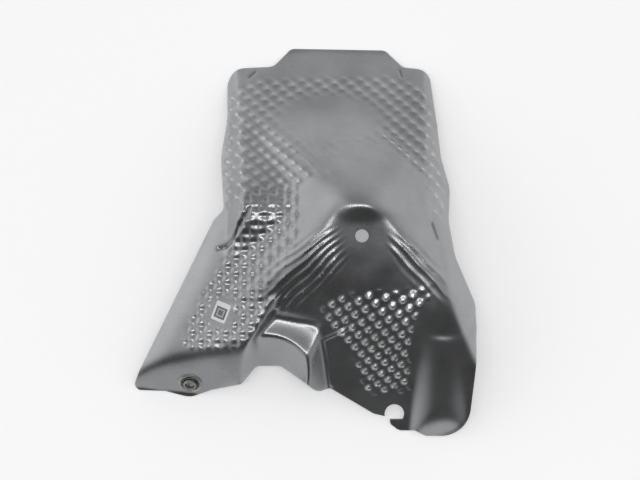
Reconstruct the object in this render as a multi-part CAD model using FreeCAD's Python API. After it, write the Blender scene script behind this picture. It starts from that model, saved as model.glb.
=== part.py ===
import FreeCAD, Part
import math
import os

# Heat shield: one pressed sheet lying on its rim, with a damped fixing eye and a sticker.
# Millimetres, +Z up, back tab toward +Y, floor at z = 0, origin under the middle of the box.

# Sheet and its embossing
sheet = 1.0
emboss_pitch = 11.6
emboss_width = 5.4
emboss_height = 0.5

# Reach of the plan from the origin to the tab, the bulge, the arm's tip and the right side
tab_reach = 139.5
bulge_reach = 139.5
arm_reach = 121.5
side_reach = 121.0

# Heights above the floor
nose_height = 78.0
seat_height = 67.0
panel_height = 51.0
arm_height = 38.0
bump_height = 37.5
bulge_height = 52.5
tab_lift = 0.76

# Bolt hole in the nose seat
bolt_hole = 9.0
bolt_x = 39.8
bolt_y = -4.5

# Hook slot in the lower skirt
slot_width = 13.6
slot_floor = 4.3
slot_x = 63.9
slot_y = -124.0

# Damped eye in the end wall of the arm
eye_x = -79.6
eye_y = -102.2
eye_hole = 14.6
ring_outer = 17.6
ring_barrel = 14.4
ring_bore = 13.0
ring_flange = 0.8
mesh_length = 4.4
sleeve_outer = 9.4
sleeve_bore = 6.6
sleeve_length = 6.0

# Sticker on the arm
sticker_x = -56.4
sticker_y = -53.9
sticker_width = 11.0
sticker_length = 13.4
sticker_turn = -22.0
sticker_thick = 0.15

# Plan outline: corner x, corner y, corner radius, clockwise from the back tab
outline = [
    (-9.5, tab_reach, 6.0), (59.0, tab_reach - 1.3, 6.0), (71.5, 124.5, 6.0), (90.5, 122.5, 11.0),
    (95.5, 80.0, 40.0), (97.5, 57.0, 30.0), (104.0, 35.0, 20.0), (101.5, 10.0, 30.0),
    (105.5, -15.0, 30.0), (side_reach, -47.0, 14.0), (side_reach - 2, -92.0, 60.0),
    (115.5, -bulge_reach, 20.0), (86.0, -bulge_reach, 8.0),
    (78.5, -135.6, 4.0), (67.4, -135.6, 6.0), (61.2, -131.0, 2.5),
    (60.9, -127.0, 0.8), (56.6, -125.4, 1.0), (49.5, -123.8, 8.0), (18.7, -105.8, 3.0), (10.0, -108.8, 6.0),
    (-16.0, -90.5, 9.0), (-33.0, -90.5, 6.0), (-43.0, -103.2, 8.0), (-64.0, -107.0, 12.0),
    (-80.6, -112.4, 16.0), (-98.0, -107.9, 12.0),
    (-arm_reach, -107.0, 4.0), (-63.0, 10.4, 4.0), (-55.5, 18.0, 6.0), (-58.7, 55.5, 60.0),
    (-54.6, 85.0, 60.0), (-55.5, 123.5, 13.0), (-22.0, 125.0, 8.0),
]

# Zones of embossing in plan, and the plain spots left in them as x, y, half width, half length
emboss_zones = [
    [(-46, 28), (-8, 28), (-8, -18), (-48, -78), (-98, -78), (-60, -4)],
    [(-48, 28), (-8, 28), (16, 66), (62, 66), (84, 40), (84, 112), (-48, 112)],
    [(16, -50), (84, -50), (74, -116), (58, -116), (22, -86)],
]
plain_spots = [(21, 88, 40, 21), (sticker_x, sticker_y, 12, 14)]


def vec(x, y, z):
    return FreeCAD.Vector(x, y, z)


# Longer than the shield any way, for the cutting solids
span = 2 * (tab_reach + bulge_reach)


# A plane over the plan: a point on it and how it climbs along x and along y
class Plane:
    def __init__(self, x, y, z, along_x, along_y):
        self.base = (x, y, z)
        self.along_x = along_x
        self.along_y = along_y
        self.stretch = math.sqrt(1 + along_x ** 2 + along_y ** 2)
        self.normal = vec(-along_x, -along_y, 1).normalize()

    def height(self, x, y):
        return self.base[2] + self.along_x * (x - self.base[0]) + self.along_y * (y - self.base[1])

    def point(self, x, y):
        return vec(x, y, self.height(x, y))

    # Everything below the plane, with the plane moved inward by a depth
    def under(self, depth):
        corners = [(-span, -span), (span, -span), (span, span), (-span, span), (-span, -span)]
        lift = vec(0, 0, -depth * self.stretch)
        top = Part.Face(Part.makePolygon([self.point(x, y) + lift for x, y in corners]))
        return top.extrude(vec(0, 0, -6 * span))


# Plane between two others, which bevels the edge where they meet
def between(first, second, drop):
    level = (first.height(0, 0) + second.height(0, 0)) / 2 - drop
    return Plane(0, 0, level, (first.along_x + second.along_x) / 2, (first.along_y + second.along_y) / 2)


# Planes of the back panel and its side walls
panel_front = Plane(19, 25, panel_height, 0, -0.38)
panel_drop = panel_height - 24.5 - tab_lift
panel_back = Plane(19, tab_reach, tab_lift, 0, -panel_drop / (tab_reach - 90))
panel_roll = Plane(19, 14, panel_height + 3, 0, 0.5)
wall_left = Plane(-55.5, 101, 3, 2.2, -0.27)
wall_right = Plane(94, 108, 4, -2.0, -0.37)

panel_edges = [between(top, wall, 3) for top in [panel_front, panel_back] for wall in [wall_left, wall_right]]
panel_bend = between(panel_front, panel_back, 2)

# Planes of the arm
arm_top = Plane(sticker_x, sticker_y, arm_height, 0.28, 0)
arm_roll = Plane(-62.5, 10.4, arm_height - 7.7, 0.813, -0.275)
arm_side = Plane(-1.9, -20.8, arm_height + 15, -1.82, 1.38)
arm_end = Plane(eye_x, -111.3, 0, 0.12, 1.12)
arm_back = Plane(19, 25, panel_height - 4, 0, -0.6)

# Planes of the nose, its seat and the skirt
nose_top = Plane(38, 20.4, nose_height - 1.5, 0, -0.8)
nose_cap = Plane(36, 14.8, nose_height - 0.4, 0, -0.3)
cap_left = Plane(23, 14.8, nose_height - 2.4, 0.36, -0.3)
cap_right = Plane(49, 14.8, nose_height - 2.4, -0.36, -0.3)
nose_left = Plane(16, 10.2, nose_height - 4, 0.842, -0.144)
nose_right = Plane(57, 7.7, nose_height - 7.3, -0.62, -0.25)
nose_behind = Plane(58, 66, nose_height - 42.6, -0.39, -0.85)
seat = Plane(bolt_x, bolt_y, seat_height, 0, 0.3)
brow_front = Plane(37.5, -0.5, seat_height + 1.2, 0, 0.62)
brow_left = Plane(24.3, 10.3, seat_height + 4.4, 0.3, 0.667)
brow_right = Plane(52.3, 8.9, seat_height + 4, -0.3, 0.772)
skirt = Plane(40, -40, seat_height - 10.6, 0.12, 0.62)
skirt_below = Plane(-20, -56, seat_height - 31.4, 0.432, 1.92)
skirt_beside = Plane(13, -71.6, seat_height - 33.4, 1.42, 0.837)
nose_side = Plane(105, -15, seat_height - 33.5, -2.0, -0.45)

# Planes of the bump and the bulge
bump_top = Plane(0, -73, bump_height, 0, -0.1)
bump_side = Plane(2, -97, bump_height - 3.5, -1.15, 0.483)
bump_left = Plane(-32, -73, bump_height, 2.0, 0)
bump_back = Plane(0, -50, bump_height, 0, -1.2)
bulge_upper = Plane(98, -62, bulge_height - 2.5, 0, -1.6)
bulge_foot = Plane(98, -bulge_reach - 1, 0, 0, 1.4)


# Groups of planes: each group is a convex form, and the sheet lies over all of them
panel_planes = [panel_front, panel_back, panel_bend, panel_roll, wall_left, wall_right] + panel_edges
arm_planes = [arm_top, arm_roll, arm_side, arm_end, arm_back]
nose_planes = [nose_top, nose_left, nose_right, nose_behind]
front_planes = nose_planes + [nose_side, seat, skirt]
apron_planes = [front_planes + [skirt_below], front_planes + [skirt_beside]]
brow_planes = nose_planes + [nose_cap, cap_left, cap_right, brow_front, brow_left, brow_right]
bump_planes = [bump_top, bump_side, bump_left, bump_back]


# Convex form below several planes
def below(planes, depth):
    form = planes[0].under(depth)
    for plane in planes[1:]:
        form = form.common(plane.under(depth))
    return form


# Cone-shaped hollow that widens upward, measured at one radius
def hollow(x, y, z, radius, climb, depth):
    level = z - depth * math.sqrt(1 + climb ** 2)
    up = 90.0
    return Part.makeCone(0, radius + up / climb, radius * climb + up, vec(x, y, level - radius * climb))


# Arch that runs down the bulge along its crest
def arch(x, radius, depth):
    r = radius - depth
    level = bulge_height - radius
    y = 0.0
    crest = 0.48
    level += crest * (y + 54.7)
    left = vec(x - r, y, level)
    right = vec(x + r, y, level)
    low = vec(0, 0, -150)
    edges = [
        Part.Arc(left, vec(x, y, level + r), right).toShape(),
        Part.LineSegment(right, right + low).toShape(),
        Part.LineSegment(right + low, left + low).toShape(),
        Part.LineSegment(left + low, left).toShape(),
    ]
    return Part.Face(Part.Wire(edges)).extrude(vec(0, -160, -160 * crest))


# The whole pressed form, with every surface moved inward by a depth
def pressed_form(depth):
    forms = [below(planes, depth) for planes in [panel_planes, arm_planes] + apron_planes]
    forms.append(below(brow_planes, depth))
    bump = below(bump_planes, depth)
    forms.append(bump.cut(hollow(-26.5, -104.4, bump_height - 28, 15.5, 1.5, depth)))
    forms.append(below([bulge_upper, bulge_foot], depth).common(arch(97, 24, depth)))
    return forms[0].fuse(forms[1:]).removeSplitter()


# Closed outline of straight lines and arcs from corners with radii
def rounded_wire(corners, z):
    count = len(corners)
    starts, middles, ends = [], [], []
    for i in range(count):
        corner = vec(corners[i][0], corners[i][1], z)
        before = (vec(corners[i - 1][0], corners[i - 1][1], z) - corner).normalize()
        follow = corners[(i + 1) % count]
        after = (vec(follow[0], follow[1], z) - corner).normalize()
        half = before.getAngle(after) / 2
        reach = corners[i][2] / math.tan(half)
        inward = (before + after).normalize()
        centre = corner + inward * (corners[i][2] / math.sin(half))
        starts.append(corner + before * reach)
        middles.append(centre - inward * corners[i][2])
        ends.append(corner + after * reach)
    edges = []
    for i in range(count):
        edges.append(Part.Arc(starts[i], middles[i], ends[i]).toShape())
        edges.append(Part.LineSegment(ends[i], starts[(i + 1) % count]).toShape())
    return Part.Wire(edges)


# Rod along a plane's normal, from one depth to another, through a point of the plan
def rod(plane, x, y, diameter, start, stop):
    base = plane.point(x, y) + plane.normal * start
    return Part.makeCylinder(diameter / 2, stop - start, base, plane.normal)


def in_zone(zone, x, y):
    inside = False
    for i in range(len(zone)):
        ax, ay = zone[i - 1]
        bx, by = zone[i]
        if (ay > y) != (by > y) and x < ax + (bx - ax) * (y - ay) / (by - ay):
            inside = not inside
    return inside


def in_spot(x, y):
    return any(((x - s[0]) / s[2]) ** 2 + ((y - s[1]) / s[3]) ** 2 < 1 for s in plain_spots)


# Plane that carries the sheet's outer side at a point of the plan
def carrier(x, y):
    tops = []
    for planes in [panel_planes, arm_planes] + apron_planes:
        tops.append(min(planes, key=lambda plane: plane.height(x, y)))
    return max(tops, key=lambda plane: plane.height(x, y))


# One raised pyramid of the embossing, or none where its foot would leave the plane
def stud(x, y):
    plane = carrier(x, y)
    side = vec(0, 1, 0).cross(plane.normal).normalize()
    along = plane.normal.cross(side)
    half = emboss_width / 2
    spokes = [side * half, along * half, side * -half, along * -half]
    margin = [plane.point(x, y) + spoke * 1.25 for spoke in spokes]
    if any(carrier(p.x, p.y) is not plane for p in margin):
        return None
    sunk = sheet / 3
    spread = 1 + sunk / emboss_height
    foot = [plane.point(x, y) - plane.normal * sunk + spoke * spread for spoke in spokes]
    peak = plane.point(x, y) + plane.normal * emboss_height
    faces = [Part.Face(Part.makePolygon(foot + foot[:1]))]
    for i in range(4):
        faces.append(Part.Face(Part.makePolygon([foot[i - 1], foot[i], peak, foot[i - 1]])))
    return Part.Solid(Part.Shell(faces))


# Rows of pyramids, every second row moved by half a pitch
def studs():
    made = []
    rows = int(span / 2 / emboss_pitch) + 1
    for row in range(-rows, rows + 1):
        y = row * emboss_pitch / 2
        shift = (row % 2) * emboss_pitch / 2
        for column in range(-rows, rows + 1):
            x = column * emboss_pitch + shift
            if any(in_zone(zone, x, y) for zone in emboss_zones) and not in_spot(x, y):
                made.append(stud(x, y))
    return [shape for shape in made if shape]


os.makedirs("parts", exist_ok=True)

# Pressed sheet
trim = Part.Face(rounded_wire(outline, 0)).extrude(vec(0, 0, span))
shield_sheet = pressed_form(0).common(trim).cut(pressed_form(sheet))
shield_sheet = shield_sheet.cut(rod(seat, bolt_x, bolt_y, bolt_hole, -5, 5))
shield_sheet = shield_sheet.cut(rod(arm_end, eye_x, eye_y, eye_hole, -5, 5))
slot = Part.makeCylinder(slot_width / 2, span, vec(slot_x, slot_y, -span / 2))
hook_top = Part.makeBox(slot_width, slot_width, span)
hook_top.translate(vec(slot_x - slot_width / 2, slot_y - slot_floor, -span / 2))
shield_sheet = shield_sheet.cut(slot.common(hook_top))
shield_sheet = shield_sheet.fuse(studs())

# Damped eye: crimped ring, wire mesh washer and spacer sleeve
eye_ring = rod(arm_end, eye_x, eye_y, ring_outer, -sheet - ring_flange, ring_flange)
groove = rod(arm_end, eye_x, eye_y, ring_outer + 2, -sheet, 0)
groove = groove.cut(rod(arm_end, eye_x, eye_y, ring_barrel, -sheet, 0))
eye_ring = eye_ring.cut(groove).cut(rod(arm_end, eye_x, eye_y, ring_bore, -9, 9))
middle = -sheet / 2
mesh_washer = rod(arm_end, eye_x, eye_y, ring_bore, middle - mesh_length / 2, middle + mesh_length / 2)
mesh_washer = mesh_washer.cut(rod(arm_end, eye_x, eye_y, sleeve_outer, -9, 9))
spacer_sleeve = rod(arm_end, eye_x, eye_y, sleeve_outer, middle - sleeve_length / 2, middle + sleeve_length / 2)
spacer_sleeve = spacer_sleeve.cut(rod(arm_end, eye_x, eye_y, sleeve_bore, -9, 9))

# Sticker lying on the arm
half_w = sticker_width / 2
half_l = sticker_length / 2
corners = [(-half_w, half_l, 1.2), (half_w, half_l, 1.2), (half_w, -half_l, 1.2), (-half_w, -half_l, 1.2)]
sticker = Part.Face(rounded_wire(corners, 0)).extrude(vec(0, 0, sticker_thick))
tilt = FreeCAD.Rotation(vec(0, 0, 1), arm_top.normal)
spin = FreeCAD.Rotation(vec(0, 0, 1), sticker_turn)
sticker.Placement = FreeCAD.Placement(arm_top.point(sticker_x, sticker_y), tilt.multiply(spin))

pieces = {
    "shield_sheet": shield_sheet,
    "eye_ring": eye_ring,
    "mesh_washer": mesh_washer,
    "spacer_sleeve": spacer_sleeve,
    "sticker": sticker,
}
# Origin under the middle of the box, with the lowest rim on the floor
box = shield_sheet.optimalBoundingBox(True, False)
shift = vec(-box.Center.x, -box.Center.y, -box.ZMin)
for name, shape in pieces.items():
    shape.translate(shift)
    shape.exportStep("parts/" + name + ".step")
    print(name, shape.isValid(), len(shape.Solids), round(shape.Volume))

# Where the fixings are, in the moved frame
print("size", box.XLength, box.YLength, box.ZLength)
print("bolt hole", seat.point(bolt_x, bolt_y) - seat.normal * (sheet / 2) + shift, seat.normal)
print("eye bore", arm_end.point(eye_x, eye_y) + arm_end.normal * middle + shift, arm_end.normal)
print("hook slot", skirt.point(slot_x, slot_y) + shift, skirt.normal)
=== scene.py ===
import bpy
import math
import numpy as np
from mathutils import Matrix, Vector
from mathutils.geometry import delaunay_2d_cdt


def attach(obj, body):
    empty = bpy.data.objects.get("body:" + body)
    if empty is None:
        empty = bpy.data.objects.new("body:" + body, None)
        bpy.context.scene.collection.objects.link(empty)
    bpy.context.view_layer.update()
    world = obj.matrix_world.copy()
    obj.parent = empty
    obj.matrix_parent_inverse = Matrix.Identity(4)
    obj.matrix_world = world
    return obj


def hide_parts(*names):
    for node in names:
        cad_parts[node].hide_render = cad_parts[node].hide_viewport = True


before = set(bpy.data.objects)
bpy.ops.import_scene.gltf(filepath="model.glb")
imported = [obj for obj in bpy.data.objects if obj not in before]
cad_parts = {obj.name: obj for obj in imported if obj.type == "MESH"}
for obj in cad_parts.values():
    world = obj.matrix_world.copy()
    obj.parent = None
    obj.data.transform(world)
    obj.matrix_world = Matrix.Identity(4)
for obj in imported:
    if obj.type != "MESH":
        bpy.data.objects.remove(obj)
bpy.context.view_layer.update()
print("frame loaded")

# The pressed sheet, in millimetres until its mesh is made
sheetSpec = {
    "shiftX": -0.85, "shiftY": 0.02,          # from the drawing's origin to the row's
    "thickness": 1.0, "gridStep": 1.1,
    "embossHeight": 0.9,
    "nubSkew": 0.35,                          # nubs slope gently at the back and steeply in front
    "creaseDepth": 1.6, "unevenness": 0.05,
    "colour": (0.365, 0.37, 0.381), "roughness": 0.28,
}
# Corners of the sheet in plan: x, y and rounding
outlineCorners = [
    (-9.5, 139.5, 6), (59, 138.2, 6), (71.5, 124.5, 6), (90.5, 122.5, 11),              # tab and right ear
    (95.5, 80, 40), (97.5, 57, 30), (104, 35, 20), (101.5, 10, 30), (105.5, -15, 30),   # right side
    (121, -47, 14), (119, -92, 60), (115.5, -139.5, 20), (86, -139.5, 8),               # bulge
    (78.5, -135.6, 4), (67.4, -135.6, 6), (61.2, -131, 2.5), (60.9, -127, 0.8),         # hook
    (56.6, -125.4, 1), (49.5, -123.8, 8), (18.7, -105.8, 3), (10, -108.8, 6),           # skirt
    (-16, -90.5, 9), (-33, -90.5, 6), (-43, -103.2, 8), (-64, -107, 12),                # bump
    (-80.6, -112.4, 16), (-98, -107.9, 12), (-121.5, -107, 4),                          # arm's end and lobe
    (-63, 10.4, 4), (-55.5, 18, 6), (-58.7, 55.5, 60), (-54.6, 85, 60),                 # left side
    (-55.5, 123.5, 13), (-22, 125, 8),                                                  # left ear
]
armZone = [
    (-44, 24), (-31, 30), (-3, 34), (-1, 12), (-2, -6), (-5, -20), (-14, -35), (-27, -57), (-38, -74),
    (-46, -79), (-81, -79), (-83, -73), (-77, -56), (-66, -36), (-55, -18), (-47, -2),
]
panelZone = [
    (-53, 104), (-46, 108), (-30, 114), (66, 116), (86, 106), (91, 92), (93, 62), (98, 36), (97, 10),
    (90, 8), (84, 40), (71, 49), (62, 58), (58, 66), (26, 62), (18, 51), (8, 40), (-2, 33), (-31, 29),
    (-52, 18), (-57, 51),
]
skirtZone = [
    (12, -50), (25, -44), (45, -41), (67, -42), (86, -34), (91, -38), (83, -48), (76, -61), (74, -80),
    (74, -108), (44, -109), (34, -80), (19, -64),
]
# Each zone of embossing: outline, pitch, turn, place of a pit, how far its lattice stands up or sinks in,
# and how much its nubs join along one diagonal (none for pits between four studs)
embossZones = [
    (armZone, 11.65, -1.5, (8.7, -1.5), 0.62, 0.85, None),
    (panelZone, 11.8, -7.0, (4.9, -4.4), 1.05, 0.35, 0.7),
    (skirtZone, 11.6, -11.0, (0.5, -1.0), 1.75, 0.25, 0.5),
]
# Fans of stretched ridges: middle x, y, direction x, y, pitch, fan, half length, half width, height
ridgeFans = [
    (1, -27, -0.76, -0.65, 4.9, 0.007, 37, 19, 0.9),
    (79, -25, 0.7, -0.71, 5.6, 0.006, 30, 11, 0.8),
    (9, 51, 0.68, -0.73, 6.0, 0.004, 17, 12, 0.5),
]
# Pressed lines in plan: the crook of the arm, the lip beside the bump, and small tears with depth and width
crookLine = [(-36.8, 16), (-43, 5.6), (-48.6, -4.1), (-53.4, -9), (-58, -10.2)]
lipLine = [(30, -65.4), (13.5, -72.8), (19.8, -104)]
tearLines = [
    ([(-34.9, 120.6), (-39.5, 116.3)], 0.8, 0.9),
    ([(69.3, 121.7), (70.9, 116.7)], 0.8, 0.9),
    ([(92.3, -4.4), (88.6, 5.6)], 0.8, 1.2),
]
plainOval = (18.7, 82.2, 40, 22)              # x, y and half sizes of the panel's bare oval
# Round places: x, y and radius
boltSpot = (39.8, -4.5, 4.5)
slotSpot = (63.9, -124.0, 6.8)
eyeSpot = (-79.6, -102.2, 7.3)
stickerSpot = (-56.4, -53.9)
stickerHeight = 38
bumpSpot = (-26.5, -104.4)                    # centre of the round dent that the bump wraps
seatSlope = 0.3
armEndSlope = (0.12, 1.12)
armEndFoot = (-79.6, -111.3)                  # where the end wall meets the floor


# Lowest of several heights, with rounded joins
def lowest(soft, *heights):
    stack = np.stack(heights)
    base = stack.min(axis=0)
    return base - soft * np.log(np.exp((base - stack) / soft).sum(axis=0))


def highest(soft, *heights):
    return -lowest(soft, *[-height for height in heights])


def smoothStep(low, high, value):
    part = np.clip((value - low) / (high - low), 0, 1)
    return part * part * (3 - 2 * part)


def plane(x, y, atX, atY, atZ, alongX, alongY):
    return atZ + alongX * (x - atX) + alongY * (y - atY)


# Distance to a run of straight lines
def lineDistance(x, y, points):
    best = np.full(x.shape, 1e9)
    for (ax, ay), (bx, by) in zip(points, points[1:]):
        dx, dy = bx - ax, by - ay
        part = np.clip(((x - ax) * dx + (y - ay) * dy) / (dx * dx + dy * dy), 0, 1)
        best = np.minimum(best, np.hypot(x - ax - part * dx, y - ay - part * dy))
    return best


def insideLoop(x, y, points):
    inside = np.zeros(x.shape, bool)
    for (ax, ay), (bx, by) in zip(points[-1:] + points[:-1], points):
        if ay != by:
            inside ^= ((ay > y) != (by > y)) & (x < ax + (bx - ax) * (y - ay) / (by - ay))
    return inside


def zoneMask(x, y, points, soft):
    away = lineDistance(x, y, points + points[:1])
    return smoothStep(-soft, soft, np.where(insideLoop(x, y, points), away, -away))


def ovalMask(x, y, atX, atY, halfX, halfY, turn=0.0):
    c, s = math.cos(math.radians(turn)), math.sin(math.radians(turn))
    u, v = (x - atX) * c + (y - atY) * s, (y - atY) * c - (x - atX) * s
    return 1 - smoothStep(0.75, 1.15, np.hypot(u / halfX, v / halfY))


# Height of the pressed form before embossing: panel, arm, nose, skirt, bump and bulge
def pressedForm(x, y):
    crown = 0.0004 * (x - 19) ** 2
    panelFront = plane(x, y, 19, 25, 51, 0, -0.38) - crown
    panelBack = plane(x, y, 19, 90, 26.5, 0, -0.52) - crown
    panelTurn = plane(x, y, 19, 14, 54, 0, 0.5)
    wallLeft = plane(x, y, -55.5, 101, 3, 2.2, -0.27)
    wallRight = plane(x, y, 94, 108, 4, -2.0, -0.37)
    panel = lowest(4, panelFront, panelBack, panelTurn, wallLeft, wallRight)

    armTop = plane(x, y, *stickerSpot, stickerHeight, 0.28, 0)
    armMargin = plane(x, y, -62.5, 10.4, 30.3, 0.813, -0.275)
    armInner = plane(x, y, -1.9, -20.8, 53, -1.82, 1.38)
    armEnd = plane(x, y, *armEndFoot, 0, *armEndSlope)
    armBack = plane(x, y, 19, 25, 47, 0, -0.6)
    arm = lowest(2.6, armTop, armMargin, armInner, armEnd, armBack)

    noseBack = plane(x, y, 38, 20.4, 76.5, 0, -0.8)
    noseLeft = plane(x, y, 19, 7, 71.2, 0.62, -0.143)
    noseRight = plane(x, y, 57, 7.7, 70.9, -0.64, -0.24)
    noseHip = plane(x, y, 58, 66, 35.4, -0.39, -0.85)
    noseBody = lowest(3, noseBack, noseLeft, noseRight, noseHip)
    seat = plane(x, y, boltSpot[0], boltSpot[1], 67, 0, seatSlope)
    apron = highest(2, plane(x, y, -20, -56, 35.6, 0.432, 1.92), plane(x, y, 13, -71.6, 33.6, 1.42, 0.837))
    rightSide = plane(x, y, 105, -15, 33.5, -2.0, -0.45)
    skirt = lowest(4, rightSide, plane(x, y, 40, -40, 56.4, 0.12, 0.62))
    nose = lowest(2, noseBody, skirt, seat, apron)

    cap = plane(x, y, 39, 12.6, 77.8, 0, -0.3) - 0.019 * (x - 39) ** 2
    browFront = plane(x, y, 37.5, -0.5, 68.9, 0, 0.68)
    browLeft = plane(x, y, 24.3, 10.3, 72, 0.36, 0.667)
    browRight = plane(x, y, 53.5, 8.9, 71.7, -0.36, 0.772)
    tip = lowest(2.6, noseBody + 2.2, cap + 0.8, browFront, browLeft, browRight)

    away = np.hypot(x - bumpSpot[0], y - bumpSpot[1])
    dish = 0.55 * np.sin(math.pi * np.clip((away - 34) / 16, 0, 1))
    bumpTop = plane(x, y, 0, -73, 37.5, 0, -0.1) - dish
    bumpRight = plane(x, y, 2, -97, 34, -1.15, 0.483)
    bumpLeft = plane(x, y, -32, -73, 37, 2.0, 0)
    bumpBack = plane(x, y, 0, -50, 37, 0, -1.2)
    bumpFront = 9 + (away - 15.5) * 1.5
    bump = lowest(1.3, bumpTop, bumpRight, bumpLeft, bumpBack, bumpFront)

    side = np.abs(x - 97)
    held = np.minimum(side, 23.3)
    arch = 28.5 + 0.48 * (y + 54.7) + np.sqrt(24 ** 2 - held ** 2) - (side - held) * 4
    bulge = lowest(3, plane(x, y, 98, -72, 44.5, 0, -1.6), plane(x, y, 98, -140.5, 0, 0, 1.4), arch)

    form = highest(1.8, highest(0.7, highest(2.2, panel, nose), tip), arm, bump, bulge)
    # Flat seats for the bolt and the eye
    for spot, level, inner, outer in ((boltSpot, seat, 6, 20), (eyeSpot, armEnd, 9.5, 12.5)):
        near = 1 - smoothStep(inner, outer, np.hypot(x - spot[0], y - spot[1]))
        form = form + (level - form) * near
    return form


# Embossing and pressed creases, along the sheet's normal
def pressedDetail(x, y):
    below = np.clip(-36 - y, 0, 200) * smoothStep(0, 15, x)
    run = y + 0.35 * np.clip(y - 25, 0, 200) - 0.17 * below - 0.0034 * below ** 2
    plain = np.maximum(ovalMask(x, y, *plainOval), ovalMask(x, y, *stickerSpot, 11, 12, -22))
    nubs = np.zeros(x.shape)
    for zone, pitch, turn, pit, rise, sink, lean in embossZones:
        c, q = math.cos(math.radians(turn)), math.sin(math.radians(turn))
        s = (x * c + run * q - pit[0]) * 2 * math.pi / pitch
        t = (-x * q + run * c - pit[1]) * 2 * math.pi / pitch
        if lean:
            t = t + sheetSpec["nubSkew"] * np.cos(2 * t)
            grid = lean * np.cos(s + t) + (1 - lean) * np.cos(s - t)
            lattice = rise * np.clip(-grid, 0, 1) ** 1.2 - sink * np.clip(grid, 0, 1)
        else:
            grid = np.cos(s) * np.cos(t)
            studs = (0.5 - 0.5 * np.cos(2 * s)) * (0.5 - 0.5 * np.cos(2 * t))
            lattice = rise * studs - sink * np.clip(grid, 0, 1) ** 1.6
        nubs = nubs + lattice * zoneMask(x, y, zone, 2.5) * (1 - plain)
    ridges = np.zeros(x.shape)
    wander = 0.5 * np.sin(x * 0.17 + y * 0.09) + 0.35 * np.sin(y * 0.24 - x * 0.07)
    for atX, atY, dirX, dirY, pitch, fan, halfLong, halfWide, height in ridgeFans:
        along = (x - atX) * dirX + (y - atY) * dirY
        across = (x - atX) * -dirY + (y - atY) * dirX
        near = 1 - smoothStep(0.65, 1.15, np.hypot(along / halfLong, across / halfWide))
        phase = 2 * math.pi * (across / (1 + fan * along) + wander) / pitch
        broken = 0.75 + 0.25 * np.cos(along * 0.42 + across * 0.9)
        ridges = ridges + near * height * broken * ((0.5 + 0.5 * np.cos(phase)) ** 2.5 - 0.25)
        nubs = nubs * (1 - 0.85 * near)
    grooves = np.zeros(x.shape)
    # Mask of painted shade along the tear grooves and the crook crease, passed on for the colour
    grooveShade = np.zeros(x.shape)
    crook = lineDistance(x, y, crookLine)
    grooves -= sheetSpec["creaseDepth"] * np.exp(-(crook / 1.5) ** 2)
    for points, depth, wide in tearLines:
        away = np.exp(-(lineDistance(x, y, points) / wide) ** 2)
        grooves -= depth * away
        grooveShade = np.maximum(grooveShade, away)
    grooves += 0.9 * np.exp(-(lineDistance(x, y, lipLine) / 1.1) ** 2)
    grooveShade = np.maximum(grooveShade, 0.7 * np.exp(-(crook / 1.6) ** 2))
    rng = np.random.default_rng(7)
    uneven = np.zeros(x.shape)
    waves = zip(rng.uniform(0, math.pi, 9), rng.uniform(16, 55, 9), rng.uniform(0, 6.28, 9))
    for angle, length, phase in waves:
        uneven += np.sin((x * math.cos(angle) + y * math.sin(angle)) * 2 * math.pi / length + phase)
    seats = [np.hypot(x - spot[0], y - spot[1]) for spot in (boltSpot, eyeSpot)]
    flat = np.maximum.reduce([1 - smoothStep(8, 26, reach) for reach in seats])
    flat = np.maximum(flat, ovalMask(x, y, *stickerSpot, 9, 10, -22))
    raised = sheetSpec["embossHeight"] * nubs + ridges + sheetSpec["unevenness"] * uneven
    return raised * (1 - flat) + grooves, nubs, grooveShade


# Rounded outline as points about a millimetre apart
def roundedLoop(corners, step):
    points = []
    arcs = []
    for i, (cx, cy, radius) in enumerate(corners):
        corner = Vector((cx, cy))
        before = (Vector(corners[i - 1][:2]) - corner).normalized()
        after = (Vector(corners[(i + 1) % len(corners)][:2]) - corner).normalized()
        half = before.angle(after) / 2
        inward = (before + after).normalized()
        centre = corner + inward * (radius / math.sin(half))
        first = corner + before * (radius / math.tan(half))
        sweep = (first - centre).angle_signed(corner + after * (radius / math.tan(half)) - centre)
        count = max(2, int(abs(sweep) * radius / step) + 1)
        turns = [Matrix.Rotation(-sweep * k / count, 2) for k in range(count + 1)]
        arcs.append([centre + turn @ (first - centre) for turn in turns])
    for i, arc in enumerate(arcs):
        points += arc
        follow = arcs[(i + 1) % len(arcs)][0]
        count = max(1, int((follow - arc[-1]).length / step))
        points += [arc[-1].lerp(follow, k / count) for k in range(1, count)]
    return [(p.x, p.y) for p in points]


# Hole that goes straight through the sheet at a slope, seen in plan
def holeLoop(spot, alongX, alongY, count):
    normal = Vector((-alongX, -alongY, 1)).normalized()
    side = Vector((0, 1, 0)).cross(normal).normalized()
    rise = normal.cross(side)
    loop = []
    for k in range(count):
        angle = 2 * math.pi * k / count
        reach = side * (spot[2] * math.cos(angle)) + rise * (spot[2] * math.sin(angle))
        loop.append((spot[0] + reach.x, spot[1] + reach.y))
    return loop


def startPiece(name, mesh):
    piece = bpy.data.objects.new(name, mesh)
    bpy.context.collection.objects.link(piece)
    bpy.ops.object.select_all(action="DESELECT")
    piece.select_set(True)
    bpy.context.view_layer.objects.active = piece
    return piece


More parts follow.
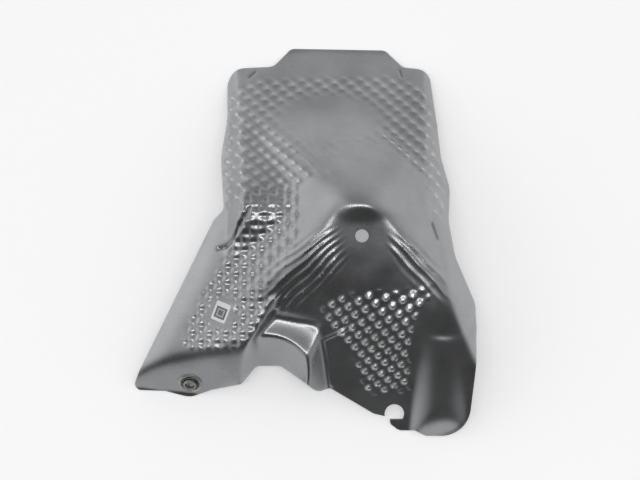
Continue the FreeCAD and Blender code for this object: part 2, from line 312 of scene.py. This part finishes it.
def makeSheet():
    step = sheetSpec["gridStep"]
    outer = roundedLoop(outlineCorners, step)
    bolt = holeLoop(boltSpot, 0, seatSlope, 40)
    eye = holeLoop(eyeSpot, *armEndSlope, 48)
    slot = [(px, py) for px, py in holeLoop(slotSpot, 0, 0, 52) if py > slotSpot[1] - 4.3]
    loops = [outer, bolt, eye, slot]
    gx, gy = np.meshgrid(np.arange(-124, 124, step), np.arange(-142, 142, step))
    gx = (gx + (np.arange(gx.shape[0]) % 2)[:, None] * step / 2).ravel()
    gy = gy.ravel()
    keep = insideLoop(gx, gy, outer)
    gx, gy = gx[keep], gy[keep]
    keep = np.ones(gx.shape, bool)
    for loop in loops:
        keep &= lineDistance(gx, gy, loop + loop[:1]) > step * 0.55
    keep &= ~insideLoop(gx, gy, bolt) & ~insideLoop(gx, gy, eye) & ~insideLoop(gx, gy, slot)
    points = [Vector(p) for p in zip(gx[keep], gy[keep])]
    edges = []
    for loop in loops:
        first = len(points)
        points += [Vector(p) for p in loop]
        edges += [(first + k, first + (k + 1) % len(loop)) for k in range(len(loop))]
    verts, _, faces, _, _, _ = delaunay_2d_cdt(points, edges, [], 0, 1e-5)
    plan = np.array([tuple(v) for v in verts])
    faces = np.array([f for f in faces if len(f) == 3])
    middle = plan[faces].mean(axis=1)
    good = insideLoop(middle[:, 0], middle[:, 1], outer)
    for loop in loops[1:]:
        good &= ~insideLoop(middle[:, 0], middle[:, 1], loop)
    faces = faces[good]
    a, b, c = plan[faces[:, 0]], plan[faces[:, 1]], plan[faces[:, 2]]
    turned = (b[:, 0] - a[:, 0]) * (c[:, 1] - a[:, 1]) - (b[:, 1] - a[:, 1]) * (c[:, 0] - a[:, 0]) < 0
    faces[turned] = faces[turned][:, ::-1]
    used = np.unique(faces)
    faces = np.searchsorted(used, faces)
    x, y = plan[used].T
    z = pressedForm(x, y)
    nudge = 0.4
    slopeX = (pressedForm(x + nudge, y) - pressedForm(x - nudge, y)) / (2 * nudge)
    slopeY = (pressedForm(x, y + nudge) - pressedForm(x, y - nudge)) / (2 * nudge)
    detail, nubs, grooveShade = pressedDetail(x, y)
    stretch = np.sqrt(1 + slopeX ** 2 + slopeY ** 2)
    rim = lineDistance(x, y, outer + outer[:1])
    detail = detail * smoothStep(0, 3, rim)
    z = z + detail / stretch
    z = highest(0.5, z, np.full(z.shape, 1.0))
    moved = np.column_stack([x - detail * slopeX / stretch + sheetSpec["shiftX"],
                             y - detail * slopeY / stretch + sheetSpec["shiftY"], z]) / 1000
    mesh = bpy.data.meshes.new("shieldSheet")
    mesh.from_pydata(moved.tolist(), [], faces.tolist())
    for name, values in (("nub", nubs), ("groove_shade", grooveShade), ("rim", rim)):
        mesh.attributes.new(name, "FLOAT", "POINT").data.foreach_set("value", values.astype(np.float32))
    piece = startPiece("shieldSheet", mesh)
    solid = piece.modifiers.new("solid", "SOLIDIFY")
    solid.thickness = sheetSpec["thickness"] / 1000
    solid.offset = -1
    bpy.ops.object.modifier_apply(modifier=solid.name)
    places = np.empty(len(mesh.vertices) * 3, np.float32)
    mesh.vertices.foreach_get("co", places)
    places[2::3] = np.maximum(places[2::3], 0)
    mesh.vertices.foreach_set("co", places)
    mesh.update()
    bpy.ops.object.shade_smooth_by_angle(angle=math.radians(40))
    return piece


sheetPiece = makeSheet()
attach(sheetPiece, "root")
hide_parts("shield_sheet")
print("sheet made", len(sheetPiece.data.polygons))

# The damped eye: crimped ring, knitted wire and sleeve, around the end wall's normal
eyeSpec = {
    "steps": 72, "wireRadius": 0.17, "wireTurns": 31, "wires": 5,
    "ringColour": (0.42, 0.42, 0.4), "wireColour": (0.2, 0.21, 0.185), "sleeveColour": (0.36, 0.36, 0.35),
}
eyeNormal = Vector((-armEndSlope[0], -armEndSlope[1], 1)).normalized()
eyeSide = Vector((0, 1, 0)).cross(eyeNormal).normalized()
eyeHeight = (eyeSpot[1] - armEndFoot[1]) * armEndSlope[1]
eyeBase = Vector((eyeSpot[0] + sheetSpec["shiftX"], eyeSpot[1] + sheetSpec["shiftY"], eyeHeight)) / 1000
eyeFrame = Matrix((eyeSide, eyeNormal.cross(eyeSide), eyeNormal)).transposed().to_4x4()
eyeFrame.translation = eyeBase


# A closed profile of radius and height, spun round the eye's axis
def spunPiece(name, profile):
    mesh = bpy.data.meshes.new(name)
    count = len(profile)
    edges = [(k, (k + 1) % count) for k in range(count)]
    mesh.from_pydata([(r / 1000, 0, h / 1000) for r, h in profile], edges, [])
    piece = startPiece(name, mesh)
    bpy.ops.object.mode_set(mode="EDIT")
    bpy.ops.mesh.select_all(action="SELECT")
    bpy.ops.mesh.spin(steps=eyeSpec["steps"], angle=2 * math.pi, center=(0, 0, 0), axis=(0, 0, 1))
    bpy.ops.mesh.select_all(action="SELECT")
    bpy.ops.mesh.remove_doubles(threshold=0.000005)
    bpy.ops.mesh.normals_make_consistent(inside=False)
    bpy.ops.object.mode_set(mode="OBJECT")
    bpy.ops.object.shade_smooth_by_angle(angle=math.radians(45))
    return piece


# Knitted wire: several strands that loop round the washer's section while they go round it
def wirePiece(name):
    made = []
    for strand in range(eyeSpec["wires"]):
        curve = bpy.data.curves.new(name + str(strand), "CURVE")
        curve.dimensions = "3D"
        curve.bevel_depth = eyeSpec["wireRadius"] / 1000
        curve.bevel_resolution = 1
        spline = curve.splines.new("POLY")
        turns = eyeSpec["wireTurns"] + 2 * strand
        count = turns * 16
        spline.points.add(count - 1)
        for k in range(count):
            around = 2 * math.pi * k / count
            loop = around * turns * (1 if strand % 2 else -1) + strand * 1.3
            size = 1 - 0.13 * (strand % 3)
            radius = 5.6 + (0.62 * size) * math.cos(loop) + 0.08 * math.sin(around * 7 + strand)
            height = -0.5 + (1.85 * size) * math.sin(loop) + 0.12 * math.sin(around * 5 + 2 * strand)
            place = Vector((radius * math.cos(around), radius * math.sin(around), height)) / 1000
            spline.points[k].co = (*place, 1)
        spline.use_cyclic_u = True
        startPiece(name + str(strand), curve)
        bpy.ops.object.convert(target="MESH")
        made.append(bpy.context.view_layer.objects.active)
    core = spunPiece(name, [
        (5.0, -2.0), (6.2, -2.0), (6.35, -1.6), (6.35, 0.6),
        (6.2, 1.0), (5.0, 1.0), (4.85, 0.6), (4.85, -1.6)])
    bpy.ops.object.select_all(action="DESELECT")
    for piece in made + [core]:
        piece.select_set(True)
    bpy.context.view_layer.objects.active = core
    bpy.ops.object.join()
    bpy.ops.object.shade_smooth_by_angle(angle=math.radians(60))
    return core


ringPiece = spunPiece("eyeRing", [
    (6.5, -1.6), (6.5, 0.5), (6.62, 0.7), (6.9, 0.8), (7.7, 0.8), (8.4, 0.68), (8.75, 0.4), (8.8, 0.15),
    (8.7, 0.0), (7.2, 0.0), (7.2, -1.0), (8.7, -1.0), (8.8, -1.2), (8.7, -1.5), (8.3, -1.72), (7.2, -1.8),
    (6.75, -1.78)])
sleevePiece = spunPiece("spacerSleeve", [
    (3.3, -3.3), (3.3, 2.3), (3.4, 2.45), (3.55, 2.5), (4.45, 2.5), (4.62, 2.43), (4.7, 2.25), (4.7, -3.25),
    (4.62, -3.43), (4.45, -3.5), (3.55, -3.5), (3.4, -3.45)])
meshPiece = wirePiece("meshWasher")
eyePieces = [
    (ringPiece, "eye_ring", "ring_steel"),
    (sleevePiece, "spacer_sleeve", "sleeve_steel"),
    (meshPiece, "mesh_washer", "mesh_steel"),
]
for piece, node, slotName in eyePieces:
    piece.data.transform(eyeFrame)
    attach(piece, "root")
    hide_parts(node)
print("eye made")

# The sticker, lying on the arm
stickerSpec = {
    "width": 11.0, "length": 13.4, "turn": -22.0, "thick": 0.15, "corner": 1.2,
    "film": (0.82, 0.82, 0.82), "field": (0.11, 0.11, 0.115),
}
stickerNormal = Vector((-0.28, 0, 1)).normalized()
stickerFrame = Vector((0, 0, 1)).rotation_difference(stickerNormal).to_matrix().to_4x4()
stickerFrame = stickerFrame @ Matrix.Rotation(math.radians(stickerSpec["turn"]), 4, "Z")
stickerPlace = Vector((*stickerSpot, stickerHeight)) + Vector((sheetSpec["shiftX"], sheetSpec["shiftY"], 0))
stickerFrame.translation = stickerPlace / 1000


def makeSticker():
    bpy.ops.object.select_all(action="DESELECT")
    bpy.ops.mesh.primitive_plane_add(size=0.001)
    piece = bpy.context.view_layer.objects.active
    piece.name = "sticker"
    piece.scale = (stickerSpec["width"], stickerSpec["length"], 1)
    bpy.ops.object.transform_apply(location=False, rotation=False, scale=True)
    bpy.ops.object.mode_set(mode="EDIT")
    bpy.ops.mesh.select_all(action="SELECT")
    bpy.ops.mesh.bevel(offset=stickerSpec["corner"] / 1000, segments=6, affect="VERTICES")
    bpy.ops.mesh.select_all(action="SELECT")
    bpy.ops.mesh.extrude_region_move(TRANSFORM_OT_translate={"value": (0, 0, stickerSpec["thick"] / 1000)})
    bpy.ops.mesh.select_all(action="SELECT")
    bpy.ops.mesh.normals_make_consistent(inside=False)
    bpy.ops.object.mode_set(mode="OBJECT")
    piece.data.transform(stickerFrame)
    return piece


stickerPiece = makeSticker()
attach(stickerPiece, "root")
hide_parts("sticker")
print("sticker made")


# Materials: a node and its inputs in one call
def addNode(tree, kind, **values):
    node = tree.nodes.new(kind)
    for key, value in values.items():
        if key in node.inputs:
            node.inputs[key].default_value = value
        else:
            setattr(node, key, value)
    return node


def newMaterial(name):
    material = bpy.data.materials.new(name)
    material.use_nodes = True
    tree = material.node_tree
    return material, tree, tree.nodes["Principled BSDF"]


def scaledNoise(tree, scale, size, detail=3.0, rough=0.5):
    coords = addNode(tree, "ShaderNodeTexCoord")
    mapping = addNode(tree, "ShaderNodeMapping", Scale=scale)
    noise = addNode(tree, "ShaderNodeTexNoise", Scale=size, Detail=detail, Roughness=rough)
    tree.links.new(coords.outputs["Object"], mapping.inputs["Vector"])
    tree.links.new(mapping.outputs["Vector"], noise.inputs["Vector"])
    return noise.outputs["Fac"]


def ramp(tree, source, low, high, fromColour, toColour):
    node = addNode(tree, "ShaderNodeValToRGB")
    node.color_ramp.elements[0].position = low
    node.color_ramp.elements[1].position = high
    node.color_ramp.elements[0].color = (*fromColour, 1)
    node.color_ramp.elements[1].color = (*toColour, 1)
    tree.links.new(source, node.inputs["Fac"])
    return node.outputs["Color"]


def mapRange(tree, source, fromLow, fromHigh, toLow, toHigh):
    node = addNode(tree, "ShaderNodeMapRange")
    for k, value in enumerate((fromLow, fromHigh, toLow, toHigh)):
        node.inputs[1 + k].default_value = value
    tree.links.new(source, node.inputs[0])
    return node.outputs[0]


def mixColour(tree, kind, factor, first, second):
    node = addNode(tree, "ShaderNodeMix", data_type="RGBA", blend_type=kind)
    for socket, value in ((node.inputs[0], factor), (node.inputs[6], first), (node.inputs[7], second)):
        if isinstance(value, bpy.types.NodeSocket):
            tree.links.new(value, socket)
        else:
            socket.default_value = value
    return node.outputs[2]


def math2(tree, kind, first, second):
    node = addNode(tree, "ShaderNodeMath", operation=kind)
    for socket, value in ((node.inputs[0], first), (node.inputs[1], second)):
        if isinstance(value, bpy.types.NodeSocket):
            tree.links.new(value, socket)
        else:
            socket.default_value = value
    return node.outputs[0]


def attribute(tree, name):
    return addNode(tree, "ShaderNodeAttribute", attribute_name=name).outputs["Fac"]


def bump(tree, source, strength, distance):
    node = addNode(tree, "ShaderNodeBump", Strength=strength, Distance=distance)
    tree.links.new(source, node.inputs["Height"])
    return node.outputs["Normal"]


def sheetMetal():
    material, tree, shader = newMaterial("sheetMetal")
    colour = sheetSpec["colour"]
    cloudy = scaledNoise(tree, (1, 1, 1), 22, 5, 0.6)
    grain = scaledNoise(tree, (60, 2600, 400), 1, 3, 0.6)
    specks = scaledNoise(tree, (1, 1, 1), 900, 3, 0.6)
    shade = ramp(tree, cloudy, 0.3, 0.72, [c * 0.84 for c in colour], [c * 1.1 for c in colour])
    streaks = ramp(tree, grain, 0.3, 0.7, (0.72, 0.72, 0.72), (1, 1, 1))
    shade = mixColour(tree, "MULTIPLY", 0.35, shade, streaks)
    nub = attribute(tree, "nub")
    # Painted shade: darkens the colour in the pits between the nubs
    pitShade = mapRange(tree, nub, 0.0, -0.9, 0.0, 0.5)
    shade = mixColour(tree, "MULTIPLY", pitShade, shade, (0.62, 0.61, 0.6, 1))
    # Painted shade: darkens the colour along the tear grooves and the crook crease
    grooveShadeLevel = mapRange(tree, attribute(tree, "groove_shade"), 0.2, 1.0, 0.0, 0.75)
    shade = mixColour(tree, "MULTIPLY", grooveShadeLevel, shade, (0.25, 0.25, 0.25, 1))
    cutEdge = mapRange(tree, attribute(tree, "rim"), 0.9, 0.0, 0.0, 0.5)
    shade = mixColour(tree, "MIX", cutEdge, shade, (0.62, 0.62, 0.62, 1))
    # Painted highlight: lightens the colour on the tops of the nubs
    nubHighlight = mapRange(tree, nub, 0.5, 1.6, 0.0, 0.8)
    shade = mixColour(tree, "MIX", nubHighlight, shade, (0.85, 0.85, 0.85, 1))
    tree.links.new(shade, shader.inputs["Base Color"])
    shader.inputs["Metallic"].default_value = 1.0
    rough = math2(tree, "ADD", mapRange(tree, cloudy, 0.25, 0.75, -0.05, 0.06), sheetSpec["roughness"])
    rough = math2(tree, "ADD", rough, mapRange(tree, nub, 0.2, 1.0, 0.0, -0.05))
    tree.links.new(rough, shader.inputs["Roughness"])
    height = math2(tree, "ADD", math2(tree, "MULTIPLY", grain, 0.6), math2(tree, "MULTIPLY", specks, 0.4))
    tree.links.new(bump(tree, height, 0.25, 0.00012), shader.inputs["Normal"])
    return material


def steel(name, colour, rough, size):
    material, tree, shader = newMaterial(name)
    cloudy = scaledNoise(tree, (1, 1, 1), size, 4, 0.6)
    shade = ramp(tree, cloudy, 0.3, 0.72, [c * 0.6 for c in colour], [c * 1.15 for c in colour])
    tree.links.new(shade, shader.inputs["Base Color"])
    shader.inputs["Metallic"].default_value = 1.0
    worn = mapRange(tree, cloudy, 0.25, 0.75, rough + 0.08, rough - 0.06)
    tree.links.new(worn, shader.inputs["Roughness"])
    fine = scaledNoise(tree, (1, 1, 1), size * 6, 3, 0.6)
    tree.links.new(bump(tree, fine, 0.2, 0.0001), shader.inputs["Normal"])
    return material


# White film with a plain dark field and a lighter square in it
def stickerFilm():
    material, tree, shader = newMaterial("stickerFilm")
    coords = addNode(tree, "ShaderNodeTexCoord")
    mapping = addNode(tree, "ShaderNodeMapping", vector_type="TEXTURE")
    mapping.inputs["Location"].default_value = stickerFrame.translation
    mapping.inputs["Rotation"].default_value = stickerFrame.to_euler()
    tree.links.new(coords.outputs["Object"], mapping.inputs["Vector"])
    parts = addNode(tree, "ShaderNodeSeparateXYZ")
    tree.links.new(mapping.outputs["Vector"], parts.inputs[0])
    reach = []
    for axis, centre in (("X", 0.0), ("Y", -0.0007)):
        reach.append(math2(tree, "ABSOLUTE", math2(tree, "SUBTRACT", parts.outputs[axis], centre), 0.0))
    square = math2(tree, "MAXIMUM", reach[0], reach[1])
    field = mapRange(tree, square, 0.0039, 0.0041, 1.0, 0.0)
    bandInner = mapRange(tree, square, 0.0017, 0.0018, 0.0, 1.0)
    bandOuter = mapRange(tree, square, 0.0026, 0.0027, 1.0, 0.0)
    band = math2(tree, "MULTIPLY", bandInner, bandOuter)
    cloudy = scaledNoise(tree, (1, 1, 1), 260, 4, 0.6)
    film = ramp(tree, cloudy, 0.3, 0.7, [c * 0.93 for c in stickerSpec["film"]], stickerSpec["film"])
    ink = ramp(tree, cloudy, 0.3, 0.7, stickerSpec["field"], [c * 1.6 for c in stickerSpec["field"]])
    inked = math2(tree, "SUBTRACT", field, math2(tree, "MULTIPLY", band, 0.45))
    shade = mixColour(tree, "MIX", inked, film, ink)
    tree.links.new(shade, shader.inputs["Base Color"])
    tree.links.new(mapRange(tree, cloudy, 0.25, 0.75, 0.42, 0.55), shader.inputs["Roughness"])
    tree.links.new(bump(tree, cloudy, 0.1, 0.0001), shader.inputs["Normal"])
    return material


finishes = [
    (sheetPiece, sheetMetal()),
    (ringPiece, steel("ringSteel", eyeSpec["ringColour"], 0.3, 320)),
    (meshPiece, steel("meshSteel", eyeSpec["wireColour"], 0.36, 420)),
    (sleevePiece, steel("sleeveSteel", eyeSpec["sleeveColour"], 0.3, 320)),
    (stickerPiece, stickerFilm()),
]
for piece, material in finishes:
    piece.data.materials.clear()
    piece.data.materials.append(material)
print("materials made")

# Floor, light and camera
stageSpec = {
    "floor": (0.92, 0.92, 0.92), "floorGlow": 0.28,
    "aimX": 0.0108, "aimY": -0.00383, "aimZ": 0.035, "distance": 1.0, "elevation": 84.0, "lens": 81.17,
    "backLight": 0.5, "frontLow": 0.09, "frontHigh": 0.15, "leftLight": 0.55, "rightLight": 0.26,
    "lampPlace": (0, -0.2, 1.8), "lampWide": 1.8, "lampDeep": 0.25, "lampPower": 9,
}


def makeStage():
    bpy.ops.object.select_all(action="DESELECT")
    bpy.ops.mesh.primitive_plane_add(size=6, location=(0, 0, 0))
    floor = bpy.context.view_layer.objects.active
    floor.name = "floor"
    material, tree, shader = newMaterial("floor")
    shader.inputs["Base Color"].default_value = (*stageSpec["floor"], 1)
    shader.inputs["Roughness"].default_value = 0.9
    path = addNode(tree, "ShaderNodeLightPath")
    seen = path.outputs["Is Camera Ray"]
    for ray in ("Is Glossy Ray", "Is Transmission Ray"):
        seen = math2(tree, "MAXIMUM", seen, path.outputs[ray])
    shader.inputs["Emission Color"].default_value = (1, 1, 1, 1)
    glow = math2(tree, "MULTIPLY", seen, stageSpec["floorGlow"])
    tree.links.new(glow, shader.inputs["Emission Strength"])
    floor.data.materials.append(material)
    world = bpy.data.worlds.new("studio")
    bpy.context.scene.world = world
    world.use_nodes = True
    tree = world.node_tree
    coords = addNode(tree, "ShaderNodeTexCoord")
    parts = addNode(tree, "ShaderNodeSeparateXYZ")
    tree.links.new(coords.outputs["Generated"], parts.inputs[0])
    x, y, z = parts.outputs
    # Light from behind and the two sides, dim in front and weaker overhead
    backward = math2(tree, "MULTIPLY", mapRange(tree, y, -0.5, 0.3, 0.0, 1.0), stageSpec["backLight"])
    forward = mapRange(tree, y, -0.9, -0.4, stageSpec["frontLow"], stageSpec["frontHigh"])
    level = math2(tree, "ADD", backward, forward)
    level = math2(tree, "MULTIPLY", level, mapRange(tree, z, 0.2, 0.9, 1.25, 0.7))
    level = math2(tree, "ADD", level, mapRange(tree, x, -0.4, -0.85, 0.0, stageSpec["leftLight"]))
    level = math2(tree, "ADD", level, mapRange(tree, x, 0.4, 0.85, 0.0, stageSpec["rightLight"]))
    tree.links.new(level, tree.nodes["Background"].inputs["Strength"])
    tree.nodes["Background"].inputs["Color"].default_value = (1, 1, 1, 1)
    lamp = bpy.data.lights.new("lampTop", "AREA")
    lamp.shape = "RECTANGLE"
    lamp.size = stageSpec["lampWide"]
    lamp.size_y = stageSpec["lampDeep"]
    lamp.energy = stageSpec["lampPower"]
    holder = bpy.data.objects.new("lampTop", lamp)
    place = Vector(stageSpec["lampPlace"])
    holder.location = place
    holder.rotation_euler = (Vector((0, 0, 0.03)) - place).to_track_quat("-Z", "Y").to_euler()
    bpy.context.collection.objects.link(holder)
    camera = bpy.data.cameras.new("camera")
    camera.lens = stageSpec["lens"]
    camera.sensor_width = 36
    holder = bpy.data.objects.new("camera", camera)
    aim = Vector((stageSpec["aimX"], stageSpec["aimY"], stageSpec["aimZ"]))
    rise = math.radians(stageSpec["elevation"])
    holder.location = aim + Vector((0, -math.cos(rise), math.sin(rise))) * stageSpec["distance"]
    holder.rotation_euler = (aim - holder.location).to_track_quat("-Z", "Y").to_euler()
    bpy.context.collection.objects.link(holder)
    bpy.context.scene.camera = holder
    bpy.context.scene.view_settings.view_transform = "Standard"


makeStage()
print("stage made")
